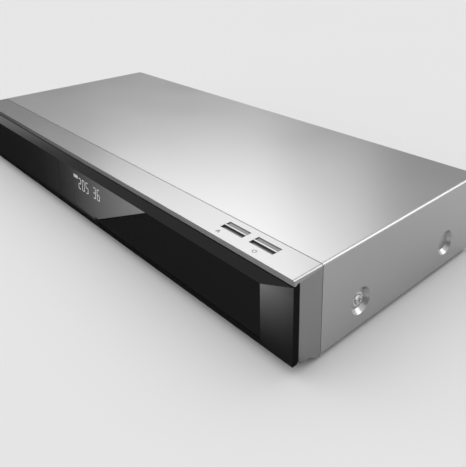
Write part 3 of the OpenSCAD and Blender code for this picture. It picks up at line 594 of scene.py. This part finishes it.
def build_clock():
    """The lit digits, with a row of small level bars beside the first one."""
    builder = bmesh.new()
    towards_viewer = Vector((0, -1, 0))
    for place, digit in enumerate(CLOCK_TEXT):
        for letter in SEGMENTS_OF.get(digit, ""):
            outline = segment_outline(*segment_ends()[letter])
            left = DIGIT_LEFT + place * DIGIT_PITCH
            points = [
                Vector((left + p.x + DIGIT_SLANT * p.y, WINDOW_FACE_Y, DIGIT_BOTTOM + p.y))
                for p in outline
            ]
            raise_outline(builder, points, towards_viewer, LIT_THICKNESS)
    for step in range(LEVEL_BARS):
        left = LEVEL_LEFT + step * LEVEL_PITCH
        corners = rectangle(left, LEVEL_BOTTOM, LEVEL_WIDTH, LEVEL_HEIGHT)
        bar = [Vector((x, WINDOW_FACE_Y, z)) for x, z in corners]
        raise_outline(builder, bar, towards_viewer, LIT_THICKNESS)
    add_piece("display_digits", builder, lit_segments())


build_clock()


# ---- Symbols printed in front of the keys ----

INK_THICKNESS = 0.03 * MM
SYMBOL_GAP = 3.6 * MM
SYMBOL_Y = OPEN_KEY_LOW.y - SYMBOL_GAP
EJECT_X = OPEN_KEY_LOW.x + 4.2 * MM
POWER_X = (POWER_KEY_LOW.x + POWER_KEY_HIGH.x) / 2


def ring(builder, centre, radius, width, gap_deg):
    """A flat ring open at its back by a gap, as a strip of short plates."""
    steps = 28
    half_gap = math.radians(gap_deg / 2)
    start = math.pi / 2 + half_gap
    sweep = math.tau - 2 * half_gap
    for i in range(steps):
        angles = (start + sweep * i / steps, start + sweep * (i + 1) / steps)
        rays = [Vector((math.cos(angle), math.sin(angle), 0)) for angle in angles]
        inner = [centre + ray * (radius - width) for ray in rays]
        outer = [centre + ray * radius for ray in rays]
        plate = [inner[0], inner[1], outer[1], outer[0]]
        raise_outline(builder, plate, Vector((0, 0, 1)), INK_THICKNESS)


def print_shape(builder, place, corners):
    """A flat shape on the strip, from its corners in millimetres around a place."""
    points = [place + Vector((x, y, 0)) * MM for x, y in corners]
    raise_outline(builder, points, Vector((0, 0, 1)), INK_THICKNESS)


def build_symbols():
    """A triangle over a bar for the open key, and a broken ring with a stroke for the power key."""
    builder = bmesh.new()
    eject = Vector((EJECT_X, SYMBOL_Y, FRAME_TOP_Z))
    print_shape(builder, eject, [(-1.5, -0.4), (1.5, -0.4), (0, 1.4)])
    print_shape(builder, eject, rectangle(-1.5, -1.3, 3.0, 0.5))
    power = Vector((POWER_X, SYMBOL_Y, FRAME_TOP_Z))
    ring(builder, power, 1.5 * MM, 0.4 * MM, 70)
    print_shape(builder, power, rectangle(-0.2, 0.1, 0.4, 1.6))
    add_piece("key_symbols", builder, printed_ink())


build_symbols()


# ---- Studio ----

FRONT_FILL = 1.0
BACK_FILL = 0.5
BACKDROP = 0.8
LAMP_DISTANCE = 3.0
LAMPS = [  # name, heading and elevation in degrees, sides in metres, power in watts
    ("key_wide", 67.7, 44.9, (2.675, 2.486), 19.6),
    ("key_core", 47.4, 38.2, (1.638, 1.467), 9.0),
    ("fold_glint", -36, 26, (1.6, 2.6), 34.0),
]
FLOOR_EXTENT = (-20, 20)
CARD_X = (-3, 3)
CARD_Y = (-3, -0.085)
CARD_HEIGHT = 0.4 * MM
CARD_FADE_Y = (-210.0, -170.0)
CARD_FADE_X = (-540.0, -360.0)
CAMERA_PLACE = (0.37837, -0.27876, 0.22307)
CAMERA_FORWARD = (-0.7176, 0.6293, -0.2983)
CAMERA_ROLL_DEG = 1.0
CAMERA_LENS = 44.16
CAMERA_SHIFT = -0.2645


def add_plane(name, x, y, z, surface):
    """A flat rectangle that belongs to the studio, given its two sides in X and Y and its height."""
    mesh = bpy.data.meshes.new(name)
    corners = [(x[0], y[0], z), (x[1], y[0], z), (x[1], y[1], z), (x[0], y[1], z)]
    mesh.from_pydata(corners, [], [(0, 1, 2, 3)])
    mesh.materials.append(surface)
    plane = bpy.data.objects.new(name, mesh)
    bpy.context.scene.collection.objects.link(plane)
    return plane


def black_card():
    """Dull black from above and clear from below, thinning out towards the front and the left."""
    card = Shader("black_card", grey(0.004), 1.0, specular=0.0)
    near = card.remap(card.axis("Y"), *CARD_FADE_Y, 0.0, 1.0)
    far = card.remap(card.axis("X"), *CARD_FADE_X, 0.0, 0.72)
    above = card.math("SUBTRACT", 1.0, card.add("ShaderNodeNewGeometry").outputs["Backfacing"])
    clear = card.add("ShaderNodeBsdfTransparent")
    blend = card.add("ShaderNodeMixShader")
    card.link(card.math("MULTIPLY", card.math("MAXIMUM", near, far), above), blend.inputs["Fac"])
    card.link(clear.outputs["BSDF"], blend.inputs[1])
    card.link(card.surface.outputs["BSDF"], blend.inputs[2])
    card.link(blend.outputs["Shader"], card.tree.nodes["Material Output"].inputs["Surface"])
    return card.material


def build_floor():
    """The floor, and a card that only gloss sees, which keeps the floor out of the black front."""
    add_plane("studio_floor", FLOOR_EXTENT, FLOOR_EXTENT, 0.0, studio_floor())
    card = add_plane("front_card", CARD_X, CARD_Y, CARD_HEIGHT, black_card())
    card.visible_camera = False
    card.visible_diffuse = False
    card.visible_shadow = False
    card.visible_transmission = False


def soft_box(name, heading, elevation, size, power):
    """A rectangular light that adds shine; its heading turns from the back to the left, in degrees."""
    turn = Quaternion((0, 0, 1), math.radians(heading))
    climb = Quaternion((1, 0, 0), math.radians(elevation))
    direction = turn @ climb @ Vector((0, 1, 0))
    data = bpy.data.lights.new(name, "AREA")
    data.shape = "RECTANGLE"
    data.size, data.size_y = size
    data.energy = power
    lamp = bpy.data.objects.new(name, data)
    lamp.location = direction * LAMP_DISTANCE
    lamp.rotation_mode = "QUATERNION"
    lamp.rotation_quaternion = direction.to_track_quat("Z", "Y")
    lamp.visible_camera = False
    lamp.visible_diffuse = False
    bpy.context.scene.collection.objects.link(lamp)


def studio_air():
    """Light that is bright overhead, in front and low at the back, with a plain pale backdrop."""
    world = bpy.data.worlds.new("studio_air")
    world.use_nodes = True
    nodes, links = world.node_tree.nodes, world.node_tree.links
    direction = nodes.new("ShaderNodeTexCoord").outputs["Generated"]

    def glow(heading, limits):
        """Brightness that goes smoothly between two levels as the direction turns towards a heading."""
        towards = nodes.new("ShaderNodeVectorMath")
        towards.operation = "DOT_PRODUCT"
        towards.inputs[1].default_value = heading
        links.new(direction, towards.inputs[0])
        part = nodes.new("ShaderNodeMapRange")
        part.interpolation_type = "SMOOTHSTEP"
        for name, value in zip(RANGE_SOCKETS, limits):
            part.inputs[name].default_value = value
        links.new(towards.outputs["Value"], part.inputs["Value"])
        return part.outputs["Result"]

    def add(a, b):
        total = nodes.new("ShaderNodeMath")
        links.new(a, total.inputs[0])
        links.new(b, total.inputs[1])
        return total.outputs[0]

    overhead = glow((0, 0, 1), (0.405, 0.645, 0.20, 1.04))
    front = glow((-0.5, -0.866, 0), (0.1, 0.9, 0.0, FRONT_FILL))
    low_back = glow((0, 0.94, -0.34), (0.62, 0.85, 0.0, BACK_FILL))
    seen = nodes.new("ShaderNodeLightPath")
    backdrop = nodes.new("ShaderNodeMix")
    backdrop.inputs["B"].default_value = BACKDROP
    links.new(seen.outputs["Is Camera Ray"], backdrop.inputs["Factor"])
    links.new(add(add(overhead, front), low_back), backdrop.inputs["A"])
    background = nodes["Background"]
    background.inputs["Color"].default_value = (1, 1, 1, 1)
    links.new(backdrop.outputs["Result"], background.inputs["Strength"])
    return world


def light_studio():
    """The world's soft light, two lamps shining on the top and one on the rounded fold."""
    bpy.context.scene.world = studio_air()
    for lamp in LAMPS:
        soft_box(*lamp)
    bpy.context.scene.view_settings.view_transform = "Standard"


def place_camera():
    """The photo's view, from the front right and above."""
    data = bpy.data.cameras.new("camera")
    data.lens = CAMERA_LENS
    data.shift_y = CAMERA_SHIFT
    data.clip_start = 0.01
    data.clip_end = 50.0
    camera = bpy.data.objects.new("camera", data)
    camera.location = CAMERA_PLACE
    forward = Vector(CAMERA_FORWARD)
    roll = Quaternion(forward.normalized(), math.radians(CAMERA_ROLL_DEG))
    camera.rotation_mode = "QUATERNION"
    camera.rotation_quaternion = roll @ forward.to_track_quat("-Z", "Y")
    bpy.context.scene.collection.objects.link(camera)
    bpy.context.scene.camera = camera


build_floor()
light_studio()
place_camera()
